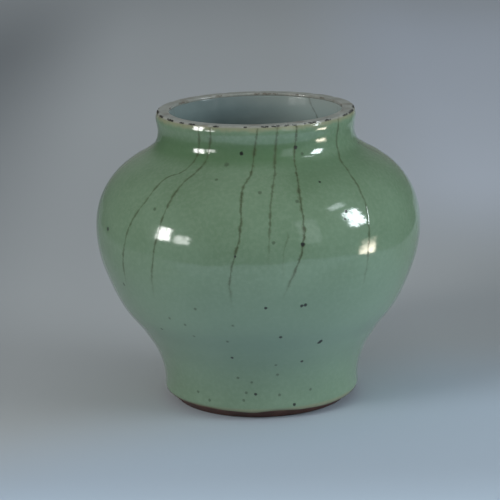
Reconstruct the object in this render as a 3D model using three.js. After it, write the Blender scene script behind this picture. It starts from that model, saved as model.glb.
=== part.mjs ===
// A wide-mouthed ginger jar without its lid: thrown in sections, luted together and glazed.
// Millimetres, +Z up, origin on the standing plane at the jar's axis.
//
// Every piece is a ring or a disc turned about the same axis, so each one is an outline of
// (radius, height) points revolved by LatheGeometry. The outlines come from one curve, the
// finished outside of the jar: a layer of the wall is that curve moved inwards along its normal.

import * as THREE from "three";

// ---- Driving dimensions --------------------------------------------------------------------

const HEIGHT = 181; // standing plane to the top of the lip
const SEGMENTS = 48; // facets round the jar

// The finished outside, from the glaze's lower edge on the foot to its upper edge under the lip.
const OUTSIDE = [
  [60, 6],
  [60.8, 18],
  [64.7, 31],
  [73.3, 45.5],
  [85.3, 61.5],
  [93.4, 78.5],
  [98.2, 93],
  [100, 107],
  [98.9, 120.5],
  [94.7, 132],
  [87.2, 142.5],
  [77.3, 150.5],
  [68, 156],
  [62.2, 161],
  [60.2, 168],
  [60.6, 172.5],
  [61.2, 176.5],
  [60.9, 179.6],
];

const OUTER_GLAZE = 1; // celadon coat
const INNER_GLAZE = 0.8; // pale liner coat
const BOND = 0.3; // gap kept between neighbouring layers
const WALL_AT_FOOT = 6.6; // clay wall, which thins evenly from the foot to the lip
const WALL_AT_LIP = 5.7;

const BELLY_SEAM = 107; // height on the outside where the two thrown sections meet
const NECK_SEAM = 161; // height on the outside where the collar meets the shoulder
const SLIP = 0.8; // thickness of the luting slip

const FOOT_OUTER = 53; // standing face
const FOOT_INNER = 46.6;
const RECESS_RADIUS = 45.6; // hollow inside the foot, under the base
const BASE_RADIUS = 50.8; // ledge that carries the base disc
const LEDGE_HEIGHT = 5;
const FLOOR_HEIGHT = 13; // top of the base disc
const FLOOR_ROUNDING = 20; // height on the outside where the wall's inside meets the floor's rounding

const LIP_OUTER = 60.8;
const LIP_INNER = 52.6;
const LIP_ROUNDING = 1; // radius of the lip's two top edges

const FLOOR_CORNER = 3; // how far in from the wall the liner's rounding reaches across the floor

// ---- Outline helpers -----------------------------------------------------------------------

const point = (radius, height) => new THREE.Vector2(radius, height);
const outside = new THREE.SplineCurve(OUTSIDE.map(([radius, height]) => point(radius, height)));

// The place along the outside, from 0 to 1, at which it reaches a height. It climbs all the way.
function placeAt(height) {
  let low = 0;
  let high = 1;
  for (let i = 0; i < 40; i++) {
    const middle = (low + high) / 2;
    if (outside.getPoint(middle).y < height) low = middle;
    else high = middle;
  }
  return (low + high) / 2;
}

// Where the slip and the clay end at a seam, below it and above it.
function seam(height) {
  const slip = SLIP / 2;
  return {
    clayLow: placeAt(height - slip - BOND),
    slipLow: placeAt(height - slip),
    slipHigh: placeAt(height + slip),
    clayHigh: placeAt(height + slip + BOND),
  };
}

const belly = seam(BELLY_SEAM);
const neck = seam(NECK_SEAM);

// The places where every layer's outline turns: the outside's own points, except that a seam's
// two clay edges take the place of the point between them.
const ownPoints = OUTSIDE.map((_, i) => i / (OUTSIDE.length - 1));
const seamEdges = [belly, neck].flatMap(({ clayLow, clayHigh }) => [clayLow, clayHigh]);
const inSeam = (place) =>
  [belly, neck].some(({ clayLow, clayHigh }) => place > clayLow && place < clayHigh);
const knots = [...ownPoints.filter((place) => !inSeam(place)), ...seamEdges].sort((a, b) => a - b);

// The outside moved inwards by a depth, which is a number or a function of the height. Every
// layer turns at the same knots, so neighbouring layers stay the same distance apart.
function layer(low, high, depth) {
  const places = [low, ...knots.filter((knot) => knot > low && knot < high), high];
  return places.map((place) => {
    const at = outside.getPoint(place);
    const along = outside.getTangent(place);
    const inwards = typeof depth === "function" ? depth(at.y) : depth;
    return point(at.x - along.y * inwards, at.y + along.x * inwards);
  });
}

// One wall layer between two places: up its outer side, then down its inner side.
function wall(low, high, outer, inner) {
  return [...layer(low, high, outer), ...layer(low, high, inner).reverse()];
}

// A turned slab with square edges. It is a solid disc when its inner radius is 0.
function slab(inner, outer, low, high) {
  return [point(inner, low), point(outer, low), point(outer, high), point(inner, high)];
}

// Depths below the outside at which each layer's faces lie.
const clayOuter = OUTER_GLAZE + BOND;
const clayInner = (height) =>
  clayOuter + THREE.MathUtils.lerp(WALL_AT_FOOT, WALL_AT_LIP, height / HEIGHT);
const linerOuter = (height) => clayInner(height) + BOND;
const linerInner = (height) => linerOuter(height) + INNER_GLAZE;

const rounding = placeAt(FLOOR_ROUNDING);

// ---- Materials -----------------------------------------------------------------------------

const finish = (color, roughness) =>
  new THREE.MeshStandardMaterial({ color, roughness, metalness: 0 });
const celadon = finish(0x94b09a, 0.12);
const liner = finish(0xa9b6b8, 0.15);
const clay = finish(0xb9a894, 0.85);
const toastedClay = finish(0x5a3a2c, 0.8);
const slip = finish(0xa8957e, 0.9);

// ---- Pieces --------------------------------------------------------------------------------

const jar = new THREE.Group();

// Adds a piece: its outline, listed with the material on its left, revolved about the jar's axis.
// An outline that starts off the axis is closed on itself.
function turn(name, outline, material) {
  const closed = outline[0].x > 0 ? [...outline, outline[0].clone()] : outline;
  const geometry = new THREE.LatheGeometry(closed, SEGMENTS);
  geometry.rotateX(Math.PI / 2);
  const mesh = new THREE.Mesh(geometry, material);
  mesh.name = name;
  jar.add(mesh);
}

// Thrown lower section: bevelled foot, a ledge inside it for the base, and the wall up to the
// belly seam.
function lowerSection() {
  return [
    point(FOOT_OUTER, 0),
    ...layer(0, belly.clayLow, clayOuter),
    ...layer(rounding, belly.clayLow, clayInner).reverse(),
    point(BASE_RADIUS, FLOOR_HEIGHT),
    point(BASE_RADIUS, LEDGE_HEIGHT),
    point(RECESS_RADIUS, LEDGE_HEIGHT),
    point(RECESS_RADIUS, FOOT_INNER - RECESS_RADIUS),
    point(FOOT_INNER, 0),
  ];
}

// One top edge of the lip: up its side and over to the flat top. The side is 1 outside, -1 inside.
function lipEdge(radius, side) {
  return [0, 1, 2, 3].map((step) => {
    const turned = (step / 3) * (Math.PI / 2);
    const across = LIP_ROUNDING * (1 - Math.cos(turned));
    return point(radius - side * across, HEIGHT - LIP_ROUNDING * (1 - Math.sin(turned)));
  });
}

// Thrown collar: the neck's wall, ending in a flat lip with rounded edges that is left bare of
// glaze. The lip covers the two glazes' top edges.
function neckCollar() {
  const end = outside.getPoint(1);
  const along = outside.getTangent(1);
  const overEdge = (depth) =>
    point(end.x - along.y * depth + along.x * BOND, end.y + along.x * depth + along.y * BOND);
  return [
    ...layer(neck.clayHigh, 1, clayOuter),
    overEdge(clayOuter),
    overEdge(0),
    ...lipEdge(LIP_OUTER, 1),
    ...lipEdge(LIP_INNER, -1).reverse(),
    overEdge(linerInner(end.y)),
    overEdge(clayInner(end.y)),
    ...layer(neck.clayHigh, 1, clayInner).reverse(),
  ];
}

// Liner glaze: the whole inside, from under the lip down the wall and across the floor.
function innerGlaze() {
  const outer = layer(rounding, 1, linerOuter);
  const inner = layer(rounding, 1, linerInner).reverse();
  const low = FLOOR_HEIGHT + BOND;
  const high = low + INNER_GLAZE;
  const corner = outer[0].x - FLOOR_CORNER;
  return [
    point(0, low),
    point(corner, low),
    ...outer,
    ...inner,
    point(corner - INNER_GLAZE, high + FLOOR_CORNER / 2),
    point(corner - FLOOR_CORNER, high),
    point(0, high),
  ];
}

// Underside of the base disc, above the slip that beds it on the ledge.
const slipTop = LEDGE_HEIGHT + BOND + SLIP;
const discBottom = slipTop + BOND;

turn("lower_section", lowerSection(), toastedClay);
turn("upper_section", wall(belly.clayHigh, neck.clayLow, clayOuter, clayInner), clay);
turn("neck_collar", neckCollar(), clay);
turn("base_disc", slab(0, BASE_RADIUS - BOND, discBottom, FLOOR_HEIGHT), clay);
turn("belly_slip", wall(belly.slipLow, belly.slipHigh, clayOuter, clayInner), slip);
turn("neck_slip", wall(neck.slipLow, neck.slipHigh, clayOuter, clayInner), slip);
turn("base_slip", slab(RECESS_RADIUS + BOND, BASE_RADIUS - BOND, LEDGE_HEIGHT + BOND, slipTop), slip);
turn("outer_glaze", wall(0, 1, 0, OUTER_GLAZE), celadon);
turn("inner_glaze", innerGlaze(), liner);
turn("base_glaze", slab(0, RECESS_RADIUS - BOND, LEDGE_HEIGHT + BOND, slipTop), liner);

export default jar;
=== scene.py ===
"""A celadon ginger jar without its lid, with a worn bare lip and a bare foot.

Metres, in the frame's axes: +Z up, the jar stands on z = 0, and its front faces -Y. An azimuth is
counted from the front towards +X, in degrees. Tables of marks on the jar give a height in
millimetres above the standing plane, which is easier to read than metres.
"""
import math

import bmesh
import bpy
from mathutils import Matrix, Vector

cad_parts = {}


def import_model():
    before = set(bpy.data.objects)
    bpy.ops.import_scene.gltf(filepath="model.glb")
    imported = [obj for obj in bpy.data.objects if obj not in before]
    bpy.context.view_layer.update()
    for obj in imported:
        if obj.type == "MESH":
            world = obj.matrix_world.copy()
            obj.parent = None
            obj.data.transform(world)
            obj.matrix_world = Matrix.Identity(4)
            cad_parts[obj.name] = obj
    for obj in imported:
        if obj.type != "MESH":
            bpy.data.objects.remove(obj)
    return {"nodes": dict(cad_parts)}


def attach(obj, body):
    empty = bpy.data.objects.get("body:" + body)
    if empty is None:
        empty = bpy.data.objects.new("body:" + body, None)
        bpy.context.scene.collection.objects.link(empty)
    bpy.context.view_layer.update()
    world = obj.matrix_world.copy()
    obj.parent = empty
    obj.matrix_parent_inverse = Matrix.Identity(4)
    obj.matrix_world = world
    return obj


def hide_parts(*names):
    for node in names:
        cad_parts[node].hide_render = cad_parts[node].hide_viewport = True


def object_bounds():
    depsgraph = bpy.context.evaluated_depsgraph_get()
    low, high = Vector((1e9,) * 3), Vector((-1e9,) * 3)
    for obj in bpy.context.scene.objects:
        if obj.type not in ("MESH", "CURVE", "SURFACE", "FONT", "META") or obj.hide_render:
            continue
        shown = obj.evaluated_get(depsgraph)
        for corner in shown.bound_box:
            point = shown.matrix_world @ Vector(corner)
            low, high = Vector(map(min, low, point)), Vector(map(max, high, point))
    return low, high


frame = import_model()
cad_low, cad_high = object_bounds()

MM = 0.001
HEIGHT = cad_high.z
AROUND = 288  # columns of faces round a turned piece
LIP_COLUMNS = 720  # enough to carry the chips


# ---- Outlines from the frame -----------------------------------------------------------------


def section(node):
    """The outline of a turned CAD node, as (radius, height) points read off its +X side in order.

    A ring's outline is a loop that starts at its lowest point and climbs its outer side first. A
    disc's starts and ends on the axis.
    """
    mesh = frame["nodes"][node].data
    links = {}
    for edge in mesh.edges:
        ends = [mesh.vertices[i].co for i in edge.vertices]
        if all(abs(end.y) < 1e-6 and end.x > -1e-6 for end in ends):
            a, b = [(round(end.x, 6), round(end.z, 6)) for end in ends]
            if a != b:
                links.setdefault(a, set()).add(b)
                links.setdefault(b, set()).add(a)
    tips = [point for point, others in links.items() if len(others) == 1]
    here = min(tips or links, key=lambda point: (point[1], -point[0]))
    walk = [here]
    ahead = max(links[here], key=lambda point: point[0] + point[1])
    while ahead not in walk:
        walk.append(ahead)
        ahead = next((point for point in links[ahead] if point not in walk), here)
    return walk


def top_edge(outline):
    """Where the two highest points are in an outline, in its own order."""
    highest = sorted(outline, key=lambda point: point[1])[-2:]
    return sorted(outline.index(point) for point in highest)


def outer_side(loop):
    """The part of a ring's loop from its lowest point up its outside to its top edge."""
    return loop[: top_edge(loop)[0] + 1]


def cavity_side(chain):
    """The part of a lined cavity's outline from its top edge down to the axis."""
    return chain[top_edge(chain)[1] :]


def straight(points, step):
    """The same outline with extra points along its straight runs, at most step apart."""
    made = [points[0]]
    for a, b in zip(points, points[1:]):
        count = max(1, math.ceil(math.dist(a, b) / step))
        for i in range(1, count + 1):
            t = i / count
            made.append((a[0] + (b[0] - a[0]) * t, a[1] + (b[1] - a[1]) * t))
    return made


def smooth(points, step):
    """A smooth curve through the points, which may be unevenly spaced, sampled every step."""
    lengths = [math.dist(a, b) for a, b in zip(points, points[1:])]
    slopes = []
    for i in range(len(points)):
        before = lengths[i - 1] if i > 0 else None
        after = lengths[i] if i < len(lengths) else None
        slope = []
        for k in (0, 1):
            back = (points[i][k] - points[i - 1][k]) / before if before else None
            on = (points[i + 1][k] - points[i][k]) / after if after else None
            if back is None or on is None:
                slope.append(on if back is None else back)
            else:
                slope.append((back * after + on * before) / (before + after))
        slopes.append(slope)
    made = [points[0]]
    for i, length in enumerate(lengths):
        count = max(1, math.ceil(length / step))
        for j in range(1, count + 1):
            t = j / count
            a, b = points[i], points[i + 1]
            # The Hermite weights of the two ends and of the slopes there.
            from_a, from_b = 2 * t**3 - 3 * t**2 + 1, 3 * t**2 - 2 * t**3
            along_a, along_b = (t**3 - 2 * t**2 + t) * length, (t**3 - t**2) * length
            radius, height = [
                from_a * a[k] + along_a * slopes[i][k] + from_b * b[k] + along_b * slopes[i + 1][k]
                for k in (0, 1)
            ]
            made.append((radius, height))
    return made


glaze_side = outer_side(section("outer_glaze"))
glaze_low = glaze_side[0][1]
collar = section("neck_collar")
lip_edges = [radius for radius, height in collar if height > HEIGHT - 1.1 * MM]
lip_outer, lip_inner = max(lip_edges), min(lip_edges)
foot_loop = section("lower_section")
foot_middle = sum(radius for radius, height in foot_loop if height < 0.1 * MM) / 2


# ---- Turned meshes ---------------------------------------------------------------------------


def at(radius, azimuth, height):
    """The point at that radius, azimuth in radians and height."""
    return Vector((radius * math.sin(azimuth), -radius * math.cos(azimuth), height))


def turned(name, outline, closed, warp=None, columns=AROUND):
    """A mesh turned from an outline, each point of which warp(radius, azimuth, height) may move."""
    mesh = bmesh.new()
    rings = []
    for radius, height in outline:
        if radius < 1e-6:
            rings.append([mesh.verts.new((0, 0, height))])
            continue
        ring = []
        for i in range(columns):
            azimuth = math.tau * i / columns
            moved = warp(radius, azimuth, height) if warp else (radius, height)
            ring.append(mesh.verts.new(at(moved[0], azimuth, moved[1])))
        rings.append(ring)
    pairs = list(zip(rings, rings[1:]))
    if closed:
        pairs.append((rings[-1], rings[0]))
    for low, high in pairs:
        for i in range(columns):
            j = (i + 1) % columns
            corners = [low[i % len(low)], low[j % len(low)], high[j % len(high)], high[i % len(high)]]
            unique = list(dict.fromkeys(corners))
            if len(unique) > 2:
                mesh.faces.new(unique)
    bmesh.ops.recalc_face_normals(mesh, faces=mesh.faces)
    data = bpy.data.meshes.new(name)
    mesh.to_mesh(data)
    mesh.free()
    data.polygons.foreach_set("use_smooth", [True] * len(data.polygons))
    piece = bpy.data.objects.new(name, data)
    bpy.context.scene.collection.objects.link(piece)
    return piece


def bump(distance, reach):
    """1 at distance 0, falling smoothly to 0 at reach."""
    t = min(abs(distance) / reach, 1)
    return (1 - t * t) ** 2


def turn_between(a, b):
    """The difference of two azimuths in radians, the short way round."""
    return (a - b + math.pi) % math.tau - math.pi


# ---- Marks on the jar ------------------------------------------------------------------------

# Stained crackle lines of the outer glaze: how dark each is, and its (azimuth, height in mm) points
# from the lip down.
CRACKS = [
    (
        0.75,
        [(-34, 181), (-35, 162), (-38, 154), (-44, 150), (-46, 141), (-49, 130), (-52, 116), (-56, 83)],
    ),
    (0.75, [(-26, 181), (-28, 162), (-31, 154), (-34, 146), (-36, 126), (-38, 110), (-41, 84)]),
    (0.9, [(1, 181), (-1, 166), (-3, 155), (-6, 147), (-6, 129), (-8, 113), (-9.5, 102), (-10, 83)]),
    (0.7, [(12, 181), (9, 157), (6, 147), (4, 131), (3, 109)]),
    (1.0, [(23, 181), (22, 167), (20, 157), (17, 147), (16, 134), (15, 118), (12, 103), (8, 87)]),
    (0.45, [(10, 123), (8, 111), (8, 99)]),
    (0.7, [(54, 181), (52, 163), (47, 155), (44, 146), (43, 136), (41, 122), (39, 86)]),
    (0.75, [(84, 181), (84, 160), (88, 150), (92, 134), (91, 112), (95, 92)]),
    (0.6, [(113, 181), (111, 158), (107, 146), (108, 126), (104, 104)]),
    (0.9, [(146, 181), (148, 162), (151, 150), (149, 130), (154, 108), (152, 80)]),
    (0.7, [(171, 181), (170, 160), (175, 147), (178, 128), (176, 98)]),
    (0.8, [(-158, 181), (-160, 161), (-163, 150), (-168, 133), (-167, 112), (-171, 90)]),
    (0.6, [(-127, 181), (-126, 160), (-123, 148), (-124, 128), (-120, 101)]),
    (0.7, [(-88, 181), (-89, 160), (-93, 150), (-96, 132), (-94, 110), (-97, 88)]),
]

# Crackle lines of the liner, in the same way.
INNER_CRACKS = [
    (0.9, [(141, 181), (138, 175), (132, 168), (128, 154), (126, 120)]),
    (0.5, [(107, 181), (105, 166), (108, 150), (104, 120)]),
    (0.5, [(-104, 181), (-108, 165), (-103, 140), (-106, 105)]),
    (0.6, [(-42, 181), (-38, 160), (-43, 140), (-40, 110)]),
    (0.5, [(22, 181), (25, 160), (20, 138), (23, 112)]),
]

# Iron specks that break through the glaze: (azimuth, height in mm, radius in mm).
DARK_SPECKS = [
    (-8.4, 165, 1.2),
    (22.5, 167, 1.2),
    (14.8, 118, 1.3),
    (2, 80, 0.95),
    (15, 80, 1.1),
    (16.3, 80.3, 1.1),
    (26.5, 51.2, 1.2),
    (27, 52.2, 1.3),
    (18.7, 9, 1.0),
    (27.4, 149, 0.8),
    (-65, 117, 1.35),
    (8, 59, 1.05),
    (20.7, 38, 1.05),
    (-14, 43, 0.95),
    (-3.7, 17, 1.0),
    (33, 133, 1.0),
    (31.7, 129, 0.8),
    (80, 160, 0.9),
    (-7.9, 112.5, 0.8),
    (118, 142, 1.0),
    (139, 92, 0.9),
    (160, 61, 1.0),
    (-150, 120, 1.1),
    (-112, 74, 0.9),
    (-170, 35, 0.9),
    (97, 48, 0.9),
]
FAINT_SPECKS = [
    (-16, 159, 1.4),
    (-18.5, 152, 0.9),
    (1, 146, 1.2),
    (26, 163, 0.9),
    (-58, 85, 1.2),
    (-40.5, 135, 1.0),
    (5, 120, 1.0),
    (15, 141, 1.1),
    (-14, 56, 0.9),
    (-30.5, 66, 0.9),
    (-10.5, 68, 0.9),
    (-45, 59, 0.9),
    (-24, 78, 0.9),
    (-37, 69, 0.9),
    (-28.5, 58, 0.8),
    (-5.6, 25, 0.9),
    (-9, 18, 0.9),
    (-10.6, 13, 0.9),
    (-32, 11, 0.9),
    (-13, 28, 0.9),
    (-40, 15, 0.9),
    (10, 16, 0.9),
    (29, 17, 0.9),
    (8.5, 30, 0.9),
    (7.3, 37, 0.9),
]

# Chips and worn dark places on the lip's outer edge: (azimuth, half length in mm, depth in mm).
CHIPS = [
    (-86, 6.0, 0.6),
    (-71, 2.8, 0.45),
    (-58, 3.2, 0.35),
    (-47, 1.6, 0.3),
    (-39, 1.9, 0.25),
    (-23, 1.5, 0.35),
    (-6, 0.7, 0.3),
    (5, 1.6, 0.35),
    (11, 1.9, 0.35),
    (17.2, 1.0, 0.5),
    (22, 1.0, 0.5),
    (28.7, 0.5, 0.4),
    (33.4, 2.2, 0.4),
    (45, 2.2, 0.3),
    (63, 2.8, 0.45),
    (74, 5.0, 0.7),
    (88, 5.0, 0.6),
    (103, 2.0, 0.3),
    (124, 3.0, 0.5),
    (141, 3.4, 0.5),
    (152, 1.2, 0.3),
    (166, 2.5, 0.4),
    (178, 2.2, 0.4),
    (-161, 3.2, 0.5),
    (-143, 2.0, 0.3),
    (-121, 3.0, 0.5),
    (-104, 1.6, 0.3),
    (-96, 2.4, 0.4),
]

# Brown stains on the lip's inner edge: (azimuth, half length in mm).
INNER_STAINS = [
    (179, 1.4),
    (172, 2.2),
    (166, 1.2),
    (-154, 2.0),
    (150, 0.9),
    (128, 1.6),
    (-120, 3.0),
    (-98, 2.0),
    (96, 2.6),
    (60, 2.0),
    (-50, 2.2),
    (15, 1.8),
]

# How far above its usual height the glaze stops at the foot: (azimuth, mm), going round.
GLAZE_EDGE = [
    (-180, 0.2),
    (-150, -0.6),
    (-120, 0.8),
    (-90, 0.4),
    (-57, 0.4),
    (-35, 0.4),
    (-20, -0.3),
    (-6, -0.9),
    (8, 0.2),
    (25, -0.8),
    (39, -1.2),
    (53, -0.9),
    (75, -0.2),
    (105, -0.4),
    (130, 0.9),
    (155, -0.2),
    (180, 0.2),
]


# ---- Node graphs -----------------------------------------------------------------------------


def srgb(red, green, blue):
    """A linear colour from display values out of 255."""

    def linear(value):
        value /= 255
        return value / 12.92 if value <= 0.04045 else ((value + 0.055) / 1.055) ** 2.4

    return (linear(red), linear(green), linear(blue), 1.0)


class Graph:
    """Adds nodes to a node tree. Apart from put and node, a method returns an output socket."""

    def __init__(self, tree):
        self.tree = tree

    def put(self, socket, value):
        """Links an input socket to an output socket, or sets it to a number, colour or vector."""
        if isinstance(value, bpy.types.NodeSocket):
            self.tree.links.new(value, socket)
        else:
            socket.default_value = value

    def node(self, kind, *inputs, **settings):
        """A new node with these settings, its first inputs put in order."""
        made = self.tree.nodes.new(kind)
        for name, value in settings.items():
            setattr(made, name, value)
        for socket, value in zip(made.inputs, inputs):
            if value is not None:
                self.put(socket, value)
        return made

    def math(self, operation, *inputs):
        return self.node("ShaderNodeMath", *inputs, operation=operation).outputs[0]

    def plus(self, a, b):
        return self.math("ADD", a, b)

    def distance(self, a, b):
        return self.node("ShaderNodeVectorMath", a, b, operation="DISTANCE").outputs["Value"]

    def fade(self, value, start, end):
        """0 before start, changing smoothly to 1 at end. The end may be below the start."""
        made = self.node("ShaderNodeMapRange", value, start, end, interpolation_type="SMOOTHSTEP")
        return made.outputs[0]

    def fade_out(self, value, start, end):
        """1 before start, changing smoothly to 0 at end."""
        return self.less(self.fade(value, start, end))

    def noise(self, place, wave, detail=2.0, roughness=0.5):
        """Noise whose lumps are about wave metres across."""
        made = self.node("ShaderNodeTexNoise")
        self.put(made.inputs["Vector"], place)
        made.inputs["Scale"].default_value = 1 / wave
        made.inputs["Detail"].default_value = detail
        made.inputs["Roughness"].default_value = roughness
        return made.outputs[0]

    def ragged(self, place, wave, size, detail=2.0, roughness=0.5):
        """Noise about 0, nearly all of it within half the size either way."""
        noise = self.noise(place, wave, detail, roughness)
        return self.times(self.math("SUBTRACT", noise, 0.5), size)

    def less(self, value):
        """One minus the value."""
        return self.math("SUBTRACT", 1.0, value)

    def times(self, *values):
        """All the values multiplied together."""
        product = values[0]
        for value in values[1:]:
            product = self.math("MULTIPLY", product, value)
        return product

    def band(self, value, start, full, ending, end):
        """0 up to start, 1 from full to ending, and 0 again from end on."""
        return self.times(self.fade(value, start, full), self.fade_out(value, ending, end))

    def inside(self, value, middle, half):
        """How far a value is inside the range from middle - half to middle + half."""
        away = self.math("ABSOLUTE", self.math("SUBTRACT", value, middle))
        return self.math("SUBTRACT", half, away)

    def mix(self, share, a, b):
        """The colour a where the share is 0, and b where it is 1."""
        made = self.node("ShaderNodeMix", data_type="RGBA")
        factor, colour_a, colour_b = made.inputs[0], made.inputs[6], made.inputs[7]
        self.put(factor, share)
        self.put(colour_a, a)
        self.put(colour_b, b)
        return made.outputs[2]

    def curve(self, value, points):
        """A smooth curve through (0 to 1, 0 to 1) points."""
        made = self.node("ShaderNodeFloatCurve")
        self.put(made.inputs["Value"], value)
        line = made.mapping.curves[0]
        for x, y in points[1:-1]:
            line.points.new(x, y)
        line.points[0].location = points[0]
        line.points[-1].location = points[-1]
        made.mapping.update()
        return made.outputs[0]

    def stretched(self, place, x, y, z):
        """The place with each axis multiplied, so that a noise there is drawn out where it is small."""
        made = self.node("ShaderNodeVectorMath", place, (x, y, z), operation="MULTIPLY")
        return made.outputs[0]

    def bump(self, height, distance, normal=None):
        """The normal of a surface raised by distance metres where the height is 1."""
        made = self.node("ShaderNodeBump")
        made.inputs["Distance"].default_value = distance
        self.put(made.inputs["Height"], height)
        if normal is not None:
            self.put(made.inputs["Normal"], normal)
        return made.outputs[0]


class Surface(Graph):
    """A material's graph round one Principled shader, with the jar's own coordinates."""

    def __init__(self, name):
        self.material = bpy.data.materials.new(name)
        self.material.use_nodes = True
        super().__init__(self.material.node_tree)
        self.shader = self.tree.nodes["Principled BSDF"]
        self.place = self.node("ShaderNodeTexCoord").outputs["Object"]
        split = self.node("ShaderNodeSeparateXYZ", self.place)
        self.x, self.y, self.height = split.outputs
        self.azimuth = self.math("ARCTAN2", self.x, self.times(self.y, -1.0))
        across = self.plus(self.times(self.x, self.x), self.times(self.y, self.y))
        self.radius = self.math("SQRT", across)

    def finish(self, colour, roughness, normal, **numbers):
        """Completes the shader. Numbers are its other sockets, by name with _ for a space."""
        self.put(self.shader.inputs["Base Color"], colour)
        self.put(self.shader.inputs["Roughness"], roughness)
        self.put(self.shader.inputs["Normal"], normal)
        for name, value in numbers.items():
            self.shader.inputs[name.replace("_", " ")].default_value = value
        return self.material

    def around(self, azimuth):
        """Distance along the surface, in metres, from a line of that azimuth in radians."""
        half = self.times(self.math("SUBTRACT", self.azimuth, azimuth), 0.5)
        chord = self.times(self.math("ABSOLUTE", self.math("SINE", half)), 2.0)
        return self.times(chord, self.radius)

    def nearest(self, marks):
        """The least of the distances to the marks, each (point, radius), in units of its radius."""
        least = None
        for point, radius in marks:
            share = self.times(self.distance(self.place, point), 1 / radius)
            least = share if least is None else self.math("MINIMUM", least, share)
        return least

    def crack(self, points, wobble):
        """The distance to one crackle line in metres, and how much of it is left at this height.

        A curve of the height gives the line's azimuth, to which wobble adds radians.
        """
        top, bottom = points[0][1] * MM, points[-1][1] * MM
        azimuths = [azimuth for azimuth, _ in points]
        middle = (max(azimuths) + min(azimuths)) / 2
        spread = max(azimuths) - min(azimuths) + 4  # degrees, with room for the curve's rounding
        level = self.node("ShaderNodeMapRange", self.height, bottom, top).outputs[0]
        line = [
            ((height * MM - bottom) / (top - bottom), 0.5 + (azimuth - middle) / spread)
            for azimuth, height in reversed(points)
        ]
        share = self.curve(level, line)
        offset = self.times(self.math("SUBTRACT", share, 0.5), math.radians(spread))
        azimuth = self.plus(self.plus(offset, wobble), math.radians(middle))
        left = self.fade(self.height, bottom - 6 * MM, bottom + 25 * MM)
        if top < HEIGHT:  # the line starts below the lip, so it tapers there too
            left = self.times(left, self.fade_out(self.height, top - 2 * MM, top + 4 * MM))
        return self.around(azimuth), left


def on_glaze(azimuth, height_mm):
    """The point on the outer glaze's surface at that azimuth in degrees and height."""
    height = height_mm * MM
    for (r0, z0), (r1, z1) in zip(glaze_side, glaze_side[1:]):
        if z0 <= height <= z1:
            radius = r0 + (r1 - r0) * (height - z0) / (z1 - z0)
            return at(radius, math.radians(azimuth), height)
    raise ValueError(f"no glaze at {height_mm} mm")


# ---- Materials -------------------------------------------------------------------------------


def glaze_colour(s):
    """Clouded green, olive at its edges, paler low down by painted light, darker round the neck by pooling
    and painted shade.
    """
    cloud = s.noise(s.place, 45 * MM, 3.0, 0.55)
    grain = s.noise(s.place, 2.4 * MM, 2.0, 0.6)
    colour = s.mix(s.fade(cloud, 0.3, 0.7), srgb(114, 139, 111), srgb(122, 147, 120))
    colour = s.mix(s.times(s.fade(grain, 0.35, 0.75), 0.22), colour, srgb(150, 170, 146))
    # Painted reflection and light: paler and bluer lower down, as the pale floor's reflection makes it.
    low = s.fade_out(s.height, 40 * MM, 125 * MM)
    low = s.times(low, s.plus(s.times(s.fade(s.height, 8 * MM, 60 * MM), 0.68), 0.15))
    colour = s.mix(low, colour, srgb(140, 163, 143))
    # The pool on the neck carries painted shade as well, darker on the -X side.
    pool_and_painted_shade = s.band(s.height, 154 * MM, 162 * MM, 166 * MM, 176 * MM)
    painted_shade_minus_x = s.less(s.times(s.fade(s.x, 8 * MM, 42 * MM), 0.75))
    colour = s.mix(s.times(pool_and_painted_shade, painted_shade_minus_x, 0.68), colour, srgb(80, 112, 74))
    # On the other side pooled glaze and painted shade darken the corner between neck and shoulder, lower
    # down.
    corner = s.band(s.height, 136 * MM, 156 * MM, 157 * MM, 162 * MM)
    corner = s.times(corner, s.band(s.x, 2 * MM, 32 * MM, 38 * MM, 90 * MM))
    colour = s.mix(s.times(corner, 0.48), colour, srgb(80, 112, 78))
    ragged = s.ragged(s.place, 6 * MM, 4 * MM)
    thin = s.fade(s.plus(s.height, ragged), HEIGHT - 4.6 * MM, HEIGHT - 1.4 * MM)
    colour = s.mix(s.times(thin, 0.65), colour, srgb(160, 154, 124))
    foot = s.fade_out(s.height, 6 * MM, 8.2 * MM)
    return s.mix(s.times(foot, 0.55), colour, srgb(150, 138, 108))


def crackle(s, lines):
    """The stain and the dark heart of crackle lines, which swell and darken in beads."""
    sway = s.ragged(s.place, 9 * MM, 0.03, 3.0, 0.6)
    beads = s.fade(s.noise(s.place, 4 * MM, 2.0, 0.6), 0.3, 0.7)
    broken = s.plus(s.times(beads, 0.55), 0.45)
    swelling = s.plus(s.times(beads, 0.9), 0.6)
    wide, fine = None, None
    for darkness, points in lines:
        away, left = s.crack(points, sway)
        away = s.math("DIVIDE", away, swelling)
        shown = s.times(left, darkness)
        stain = s.times(s.fade_out(away, 0.2 * MM, 1.5 * MM), shown)
        heart = s.times(s.fade_out(away, 0.1 * MM, 0.75 * MM), shown)
        wide = stain if wide is None else s.math("MAXIMUM", wide, stain)
        fine = heart if fine is None else s.math("MAXIMUM", fine, heart)
    return s.times(wide, broken), s.times(fine, broken)


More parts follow.
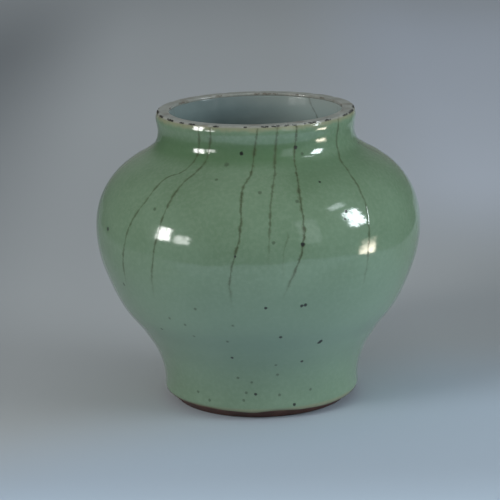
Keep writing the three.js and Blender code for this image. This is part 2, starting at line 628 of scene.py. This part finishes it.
def celadon():
    """Glossy green glaze with stained crackle and iron specks."""
    s = Surface("celadon_glaze")
    stain, heart = crackle(s, CRACKS)
    colour = s.mix(s.times(stain, 0.65), glaze_colour(s), srgb(88, 98, 66))
    colour = s.mix(s.times(heart, 0.62), colour, srgb(58, 60, 46))

    dark = s.nearest([(on_glaze(azimuth, height), size * MM) for azimuth, height, size in DARK_SPECKS])
    faint = s.nearest([(on_glaze(azimuth, height), size * MM) for azimuth, height, size in FAINT_SPECKS])
    ragged = s.ragged(s.place, 1.2 * MM, 0.7)
    dark_mask = s.fade_out(s.plus(dark, ragged), 0.7, 1.2)
    faint_mask = s.fade_out(s.plus(faint, ragged), 0.5, 1.5)
    colour = s.mix(s.times(faint_mask, 0.6), colour, srgb(70, 80, 62))
    colour = s.mix(s.times(dark_mask, 0.95), colour, srgb(22, 24, 20))

    rough = s.plus(s.times(s.noise(s.place, 12 * MM, 3.0), 0.08), 0.05)
    rough = s.plus(rough, s.times(dark_mask, 0.3))
    swell = s.bump(s.noise(s.place, 14 * MM, 1.0), 0.12 * MM)
    peel = s.bump(s.noise(s.place, 2.2 * MM, 2.0), 0.014 * MM, normal=swell)
    broken = s.less(s.math("MAXIMUM", heart, dark_mask))
    return s.finish(colour, rough, s.bump(broken, 0.08 * MM, normal=peel), IOR=1.6)


def liner():
    """Glossy pale blue-grey glaze inside the jar with faint crackle, and painted light on +X and at the
    rim.
    """
    s = Surface("liner_glaze")
    cloud = s.noise(s.place, 30 * MM, 3.0, 0.55)
    deep = s.mix(s.fade(cloud, 0.3, 0.7), srgb(114, 130, 130), srgb(127, 143, 142))
    # Painted light: the glaze is lighter towards +X.
    colour = s.mix(s.fade(s.x, -12 * MM, 40 * MM), deep, srgb(156, 171, 167))
    stain, heart = crackle(s, INNER_CRACKS)
    colour = s.mix(s.times(stain, 0.4), colour, srgb(98, 104, 90))
    colour = s.mix(s.times(heart, 0.6), colour, srgb(72, 74, 64))
    # Lighter towards the rim, and painted light makes this stronger towards +X.
    edge = s.fade(s.plus(s.height, s.times(cloud, 4 * MM)), HEIGHT - 10 * MM, HEIGHT)
    lit = s.plus(s.times(s.fade(s.x, -30 * MM, 10 * MM), 0.4), 0.1)
    colour = s.mix(s.times(edge, lit), colour, srgb(166, 174, 168))
    rough = s.plus(s.times(cloud, 0.1), 0.08)
    normal = s.bump(s.noise(s.place, 12 * MM, 2.0), 0.1 * MM)
    return s.finish(colour, rough, normal, IOR=1.5)


def edge_marks(places, radius, height):
    """Uneven marks in rows along an edge of the lip, for Surface.nearest.

    A place is (azimuth, half length in mm). Longer places have larger marks, about 0.9 mm apart.
    """
    marks = []
    for azimuth, half in places:
        steps = max(1, round(half / 0.9))
        size = (0.6 + 0.1 * half) * MM
        for i in range(-steps, steps + 1):
            turn = math.radians(azimuth) + i * half * MM / steps / radius
            sway = math.sin(7.3 * azimuth + 2.1 * i)  # an unevenness that is the same each run
            reach = size * (1 - 0.35 * abs(i) / steps) * (1 + 0.3 * sway)
            marks.append((at(radius, turn, height + 0.3 * MM * sway), reach))
    return marks


def bare_lip():
    """Bare grey-buff clay of the lip, with edges rubbed smooth, stained inside and chipped outside."""
    s = Surface("bare_lip_clay")
    cloud = s.noise(s.place, 8 * MM, 3.0, 0.6)
    grain = s.noise(s.place, 0.9 * MM, 2.0, 0.6)
    ragged = s.ragged(s.place, 1.5 * MM, 1.5)
    colour = s.mix(s.fade(cloud, 0.35, 0.65), srgb(150, 153, 146), srgb(166, 169, 162))
    colour = s.mix(s.times(s.fade(grain, 0.55, 0.75), 0.4), colour, srgb(100, 96, 84))
    blotch = s.fade(s.noise(s.stretched(s.place, 1, 1, 0.4), 10 * MM, 2.0), 0.56, 0.7)
    colour = s.mix(s.times(blotch, 0.4), colour, srgb(114, 104, 88))

    inner_side = s.fade_out(s.radius, lip_inner + 0.2 * MM, lip_inner + 1.6 * MM)
    colour = s.mix(s.times(inner_side, s.fade(cloud, 0.45, 0.7), 0.3), colour, srgb(108, 94, 74))
    stains = edge_marks(INNER_STAINS, lip_inner + 0.3 * MM, HEIGHT - 0.5 * MM)
    stained = s.fade_out(s.plus(s.nearest(stains), ragged), 0.6, 1.4)
    colour = s.mix(s.times(stained, 0.55), colour, srgb(92, 76, 58))

    outer_side = s.fade(s.radius, lip_outer - 0.9 * MM, lip_outer - 0.3 * MM)
    colour = s.mix(s.times(outer_side, 0.5), colour, srgb(160, 156, 134))
    places = [(azimuth, half) for azimuth, half, _ in CHIPS]
    chips = edge_marks(places, lip_outer - 0.5 * MM, HEIGHT - 0.4 * MM)
    chipped = s.fade_out(s.plus(s.nearest(chips), ragged), 0.7, 1.3)
    colour = s.mix(s.times(chipped, 0.95), colour, srgb(30, 26, 22))

    glossy = s.math("MAXIMUM", inner_side, outer_side)
    rough = s.math("SUBTRACT", s.plus(s.times(cloud, 0.25), 0.42), s.times(glossy, 0.42))
    rough = s.plus(rough, s.times(chipped, 0.3))
    normal = s.bump(s.times(grain, s.less(glossy)), 0.06 * MM)
    return s.finish(colour, rough, s.bump(s.less(chipped), 0.25 * MM, normal=normal))


def bare_foot():
    """Unglazed dark brown foot, with a tan line where the glaze stops."""
    s = Surface("bare_foot_clay")
    cloud = s.noise(s.place, 12 * MM, 3.0, 0.6)
    grain = s.noise(s.place, 0.8 * MM, 3.0, 0.65)
    colour = s.mix(s.fade(cloud, 0.35, 0.65), srgb(84, 56, 48), srgb(104, 70, 60))
    colour = s.mix(s.times(s.fade(grain, 0.5, 0.75), 0.5), colour, srgb(58, 40, 34))
    tan = s.fade(s.plus(s.height, s.times(cloud, 1.5 * MM)), 5.6 * MM, 6.8 * MM)
    colour = s.mix(s.times(tan, 0.7), colour, srgb(140, 120, 94))
    rough = s.plus(s.times(grain, 0.2), 0.7)
    rings = s.noise(s.stretched(s.place, 0.15, 0.15, 1), 1.0 * MM, 2.0)
    normal = s.bump(rings, 0.15 * MM)
    return s.finish(colour, rough, s.bump(grain, 0.12 * MM, normal=normal))


def plain_clay(name, pale, deep):
    """Unglazed clay of the hidden sections and slip."""
    s = Surface(name)
    grain = s.noise(s.place, 1.5 * MM, 3.0, 0.6)
    colour = s.mix(s.fade(s.noise(s.place, 18 * MM, 2.0), 0.3, 0.7), deep, pale)
    rough = s.plus(s.times(grain, 0.15), 0.75)
    return s.finish(colour, rough, s.bump(grain, 0.1 * MM))


# ---- Pieces ----------------------------------------------------------------------------------

TURN_IN = 0.3 * MM  # how far a glaze's upper edge turns in towards the lip
EDGE_ROLL = 0.3 * MM  # how far the glaze swells just above its lower edge
FOOT_SWELL = 0.7 * MM  # how far the foot's clay comes out towards the glaze's surface
THROWING_DEPTH = 0.12 * MM
THROWING_PITCH = 7 * MM
STRAIGHT_NECK = 11 * MM  # how far down from its edge the liner runs straight
SKIN = 0.35 * MM  # how far a glaze skin reaches past its CAD edge, to meet the lip


def place_piece(piece, node, material):
    """Gives a piece its material and lets it stand for its CAD node."""
    piece.data.materials.append(material)
    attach(piece, "root")
    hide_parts(node)


def glaze_edge(azimuth):
    """How far above its usual height the glaze stops at the foot at this azimuth, from GLAZE_EDGE."""
    degrees = (math.degrees(azimuth) + 180) % 360 - 180
    for (a0, lift0), (a1, lift1) in zip(GLAZE_EDGE, GLAZE_EDGE[1:]):
        if a0 <= degrees <= a1:
            t = (degrees - a0) / (a1 - a0)
            return (lift0 + (lift1 - lift0) * t * t * (3 - 2 * t)) * MM


def turned_in(height, reach):
    """How far a glaze has turned in towards the lip. It starts to at reach below its top edge."""
    return TURN_IN * max(0, 1 - (glaze_side[-1][1] - height) / reach) ** 2


def warp_glaze(radius, azimuth, height):
    """The glaze's lower edge is wavy and swells into a thick roll just above it."""
    lift = glaze_edge(azimuth) * bump(height - glaze_low, 8 * MM)
    roll = EDGE_ROLL * bump(height - glaze_low - 2.2 * MM, 3 * MM)
    return radius + roll - turned_in(height, 2.5 * MM), height + lift


def warp_liner(radius, azimuth, height):
    """A throwing spiral runs down the inside and across the floor. The top edge rounds over.

    The spiral dies out towards the lip and at the floor's middle.
    """
    radius += turned_in(height, 1.2 * MM)
    ring = THROWING_DEPTH * math.sin(math.tau * (radius + height) / THROWING_PITCH + azimuth)
    if height > HEIGHT / 2:
        ring *= 1 - bump(HEIGHT - height, 30 * MM)
    else:
        ring *= min(radius / (8 * MM), 1)
    return radius + ring, height + ring


def warp_lip(radius, azimuth, height):
    """The lip's two edges follow the glazes where they turn in, and the outer one is chipped."""
    radius -= TURN_IN * bump(lip_outer - radius, 1.5 * MM)
    radius += TURN_IN * bump(radius - lip_inner, 1.5 * MM)
    edge = bump(math.dist((radius, height), (lip_outer, HEIGHT)), 2.2 * MM)
    if edge <= 0:
        return radius, height
    push = 0
    for turn, half, depth in CHIPS:
        away = turn_between(azimuth, math.radians(turn)) * radius
        push = max(push, depth * MM * bump(away, (half + 0.6) * MM))
    return radius - push * edge, height - 0.7 * push * edge


def warp_foot(radius, azimuth, height):
    """The clay comes nearly out to the glaze's surface where the glaze stops."""
    if radius > foot_middle:
        return radius + FOOT_SWELL * bump(height - glaze_low, 5 * MM), height
    return radius, height


def outer_coat():
    """The celadon skin, from a rolled edge on the foot up to the lip."""
    (low_r, low_z), (top_r, top_z) = glaze_side[0], glaze_side[-1]
    under = [(low_r - MM, low_z + 0.2 * MM), (low_r - SKIN, low_z)]
    over = [(top_r + 0.03 * MM, top_z + SKIN), (top_r - SKIN, top_z + SKIN)]
    piece = turned("outer_glaze_coat", [*under, *smooth(glaze_side, 1.5 * MM), *over], False, warp_glaze)
    place_piece(piece, "outer_glaze", celadon())


def inner_coat():
    """The liner skin, from the lip down the wall and across the floor."""
    side = cavity_side(section("inner_glaze"))
    top_r, top_z = side[0]
    side = [side[0]] + [point for point in side if point[1] < top_z - STRAIGHT_NECK]
    over = [(top_r + SKIN, top_z + SKIN), (top_r - 0.05 * MM, top_z + SKIN)]
    wall, floor = smooth(side[:-1], 2 * MM), straight(side[-2:], 2 * MM)
    piece = turned("inner_glaze_coat", [*over, *wall, *floor[1:]], False, warp_liner)
    place_piece(piece, "inner_glaze", liner())


def lip_and_foot():
    """The two clay pieces that show bare, with finer meshes than the CAD's."""
    outline = straight([*collar, collar[0]], 0.6 * MM)[:-1]
    piece = turned("neck_collar_and_lip", outline, True, warp_lip, LIP_COLUMNS)
    place_piece(piece, "neck_collar", bare_lip())
    outline = straight([*foot_loop, foot_loop[0]], 1.2 * MM)[:-1]
    piece = turned("foot_and_lower_wall", outline, True, warp_foot)
    place_piece(piece, "lower_section", bare_foot())


def kept_nodes():
    """Materials for the CAD nodes that keep their own shape."""
    clay = plain_clay("stoneware_body", srgb(196, 182, 164), srgb(178, 162, 142))
    slip = plain_clay("luting_slip", srgb(182, 166, 144), srgb(164, 146, 124))
    materials = {
        "upper_section": clay,
        "base_disc": clay,
        "belly_slip": slip,
        "neck_slip": slip,
        "base_slip": slip,
        "base_glaze": bpy.data.materials["liner_glaze"],
    }
    for node, material in materials.items():
        slots = frame["nodes"][node].data.materials
        slots.clear()
        slots.append(material)


outer_coat()
inner_coat()
lip_and_foot()
kept_nodes()


# ---- Stage -----------------------------------------------------------------------------------

# The pale sheet under the jar, whose edge shows as a line in the belly's reflections: its corners,
# as (x, y) going round. The floor beyond it looks the same but isn't reflected.
SHEET = [
    (1.6, 2.2),
    (-1.6, 2.2),
    (-0.53, 0.6),
    (-0.53, -0.14),
    (-0.34, -0.27),
    (-0.08, -0.47),
    (0.26, -0.47),
    (0.43, -0.28),
    (0.43, 0.55),
]
SHEET_DROP = 0.1 * MM  # how far under the jar's standing plane the sheet is
FLOOR_DROP = 0.2 * MM
FLOOR_RADIUS = 8


def floor_material():
    """Matt pale floor with painted light far back, cool painted light in front and back right, painted
    shade left and right.
    """
    s = Surface("floor_paper")
    # The painted pool of cool light in front starts further forward on the left.
    ahead = s.math("SUBTRACT", s.times(s.math("MINIMUM", s.x, 0.11), 0.6), s.y)
    front = s.fade(ahead, -0.06, 0.12)
    front = s.times(front, s.fade_out(s.radius, 0.5, 1.3))
    near = s.fade_out(s.radius, 1.35, 2.4)
    # Painted light far back and at the back right, painted shade to the left and right.
    back = s.times(s.fade(s.y, 0.3, 1.1), near)
    painted_light_back_right = s.times(s.fade(s.x, 0.02, 0.2), s.fade(s.y, 0.25, 0.65), near)
    painted_shade_sides = s.math("MAXIMUM", s.fade(s.x, -0.15, -0.33), s.times(s.fade(s.x, 0.1, 0.26), 0.5))
    colour = s.mix(back, srgb(183, 187, 189), srgb(200, 204, 206))
    colour = s.mix(s.times(painted_shade_sides, near), colour, srgb(150, 154, 157))
    colour = s.mix(painted_light_back_right, colour, srgb(206, 213, 224))
    colour = s.mix(front, colour, srgb(186, 200, 215))
    # Painted light makes the sheet's front brightest, so that its edge shows in the glaze.
    bright = s.times(front, s.fade(s.y, -0.14, -0.28))
    colour = s.mix(bright, colour, srgb(216, 234, 252))
    colour = s.mix(s.times(s.noise(s.place, 0.2), 0.05), colour, srgb(170, 175, 180))
    normal = s.bump(s.noise(s.place, 2 * MM), 0.02 * MM)
    return s.finish(colour, 0.9, normal, Specular_IOR_Level=0.0)


def flat_face(name, corners, height):
    """One level face with these (x, y) corners."""
    data = bpy.data.meshes.new(name)
    data.from_pydata([(x, y, height) for x, y in corners], [], [range(len(corners))])
    face = bpy.data.objects.new(name, data)
    bpy.context.scene.collection.objects.link(face)
    return face


def stage():
    """The sheet that the jar stands on and the floor round it."""
    material = floor_material()
    sheet = flat_face("pale_sheet", SHEET[::-1], -SHEET_DROP)
    reach = [math.tau * i / 48 for i in range(48)]
    around = [(FLOOR_RADIUS * math.cos(turn), FLOOR_RADIUS * math.sin(turn)) for turn in reach]
    floor = flat_face("floor", around, -FLOOR_DROP)
    floor.visible_glossy = False
    for piece in (sheet, floor):
        piece.data.materials.append(material)


def facing_jar(item, azimuth, elevation, distance):
    """Puts an item at an azimuth and elevation in degrees from the middle of the jar's belly, facing it."""
    centre = Vector((0, 0, HEIGHT * 0.6))
    rise = math.radians(elevation)
    item.location = centre + at(distance * math.cos(rise), math.radians(azimuth), distance * math.sin(rise))
    item.rotation_mode = "QUATERNION"
    item.rotation_quaternion = (centre - item.location).to_track_quat("-Z", "Y")


def window(name, azimuth, elevation, width, height, radiance, colour, distance=1.6):
    """A rectangular light that faces the jar and looks as bright whatever its size."""
    data = bpy.data.lights.new(name, "AREA")
    data.shape = "RECTANGLE"
    data.size, data.size_y = width, height
    data.energy = radiance * math.pi * width * height
    data.color = colour
    light = bpy.data.objects.new(name, data)
    bpy.context.scene.collection.objects.link(light)
    facing_jar(light, azimuth, elevation, distance)
    light.visible_camera = False
    return light


def shine(*settings, uneven=0.0, soft=0.1, **more):
    """A window that shows only in reflections.

    Uneven, how ragged its edge is, and soft, how wide the edge's fade is, are shares of its size.
    """
    light = window(*settings, **more)
    light.visible_diffuse = False
    light.data.use_nodes = True
    g = Graph(light.data.node_tree)
    across = g.node("ShaderNodeNewGeometry").outputs["Parametric"]
    u, v, _ = g.node("ShaderNodeSeparateXYZ", across).outputs
    ragged = g.ragged(across, 0.22, uneven, 3.0, 0.65)
    depth = g.math("MINIMUM", g.inside(u, 0.5, 0.5), g.inside(v, 0.5, 0.5))
    pane = g.fade(g.plus(depth, ragged), 0.0, soft)
    emission = light.data.node_tree.nodes["Emission"]
    g.put(emission.inputs["Strength"], g.times(pane, g.plus(1.0, g.times(ragged, 3.0))))


def fill(*settings):
    """A soft light that shows in no reflection."""
    window(*settings).visible_glossy = False


def low_glow(azimuth, elevation, width, height, radiance, colour, distance=1.6):
    """Warm light from below the table's edge, as a card, because the floor would shade a light."""
    half_x, half_y = width / 2, height / 2
    corners = [(half_x, half_y), (-half_x, half_y), (-half_x, -half_y), (half_x, -half_y)]
    card = flat_face("low_glow", corners, 0)
    facing_jar(card, azimuth, elevation, distance)
    card.visible_camera = card.visible_diffuse = card.visible_shadow = False
    material = bpy.data.materials.new("low_glow")
    material.use_nodes = True
    material.cycles.emission_sampling = "NONE"
    g = Graph(material.node_tree)
    place = g.node("ShaderNodeTexCoord").outputs["Object"]
    x, y, _ = g.node("ShaderNodeSeparateXYZ", place).outputs
    ragged = g.ragged(place, 0.09, 0.45, 3.0, 0.65)
    depth = g.math("MINIMUM", g.inside(x, 0.0, half_x), g.inside(y, 0.0, half_y))
    pane = g.fade(g.plus(depth, ragged), 0.0, 0.05)
    level = g.times(pane, g.plus(g.fade(y, 0.6 * half_y, -0.4 * half_y), 0.25), radiance)
    glow = g.node("ShaderNodeEmission", colour, level)
    g.put(material.node_tree.nodes["Material Output"].inputs["Surface"], glow.outputs[0])
    card.data.materials.append(material)


def world():
    """Even room light, dim in reflections. Past the floor's end the camera sees the floor's colour."""
    room, reflected, horizon = (0.315, 0.335, 0.35, 1), (0.03, 0.035, 0.035, 1), (0.15, 0.168, 0.178, 1)
    made = bpy.data.worlds.new("room")
    made.use_nodes = True
    bpy.context.scene.world = made
    g = Graph(made.node_tree)
    rays = g.node("ShaderNodeLightPath").outputs
    seen = g.mix(rays["Is Glossy Ray"], room, reflected)
    seen = g.mix(rays["Is Camera Ray"], seen, horizon)
    g.put(made.node_tree.nodes["Background"].inputs["Color"], seen)


def lights():
    """Windows to the left and right, as the glaze shows them, and soft fill.

    Each has its azimuth, elevation, width, height, brightness and colour.
    """
    white, cool, warm = (1.0, 1.0, 0.98), (0.86, 0.95, 1.0), (1.0, 0.88, 0.72)
    shine("left_window", -68, 11, 0.36, 0.46, 20, white, uneven=0.9)
    shine("left_curtain", -53, 8, 0.34, 0.3, 8, white, uneven=0.9)
    shine("right_window", 75, 23, 0.4, 0.56, 20, cool, uneven=1.0)
    shine("right_shutter", 71, 42, 0.38, 0.18, 4.5, cool, uneven=0.6)
    shine("front_door", 36, 20, 0.42, 1.0, 0.9, cool, uneven=0.1)
    shine("back_paper", 180, 5, 3.3, 2.6, 0.2, white, soft=0.5, distance=2.2)
    fill("left_fill", -50, 30, 0.6, 0.6, 7.6, white)
    fill("right_fill", 72, 15, 0.9, 0.9, 5.0, cool)
    low_glow(80, -10.5, 0.42, 0.42, 14, (*warm, 1))


stage()
world()
lights()


# ---- Camera ----------------------------------------------------------------------------------

SENSOR = 36  # millimetres, as the lens
LENS = 158.8
CAMERA_BACK = 1.329
CAMERA_UP = 0.422
PITCH = 13.96  # degrees down
YAW = -0.234
ROLL = -1.378


def camera():
    """A long lens that looks down over the lip, turned and rolled slightly."""
    data = bpy.data.cameras.new("camera")
    data.sensor_width = SENSOR
    data.lens = LENS
    data.clip_start, data.clip_end = 0.05, 50
    made = bpy.data.objects.new("camera", data)
    bpy.context.scene.collection.objects.link(made)
    made.location = (0, -CAMERA_BACK, CAMERA_UP)
    turn = Matrix.Rotation(math.radians(-YAW), 4, "Z") @ Matrix.Rotation(math.radians(90 - PITCH), 4, "X")
    made.rotation_mode = "QUATERNION"
    made.rotation_quaternion = (turn @ Matrix.Rotation(math.radians(ROLL), 4, "Z")).to_quaternion()
    bpy.context.scene.camera = made


camera()
bpy.context.scene.view_settings.view_transform = "Standard"
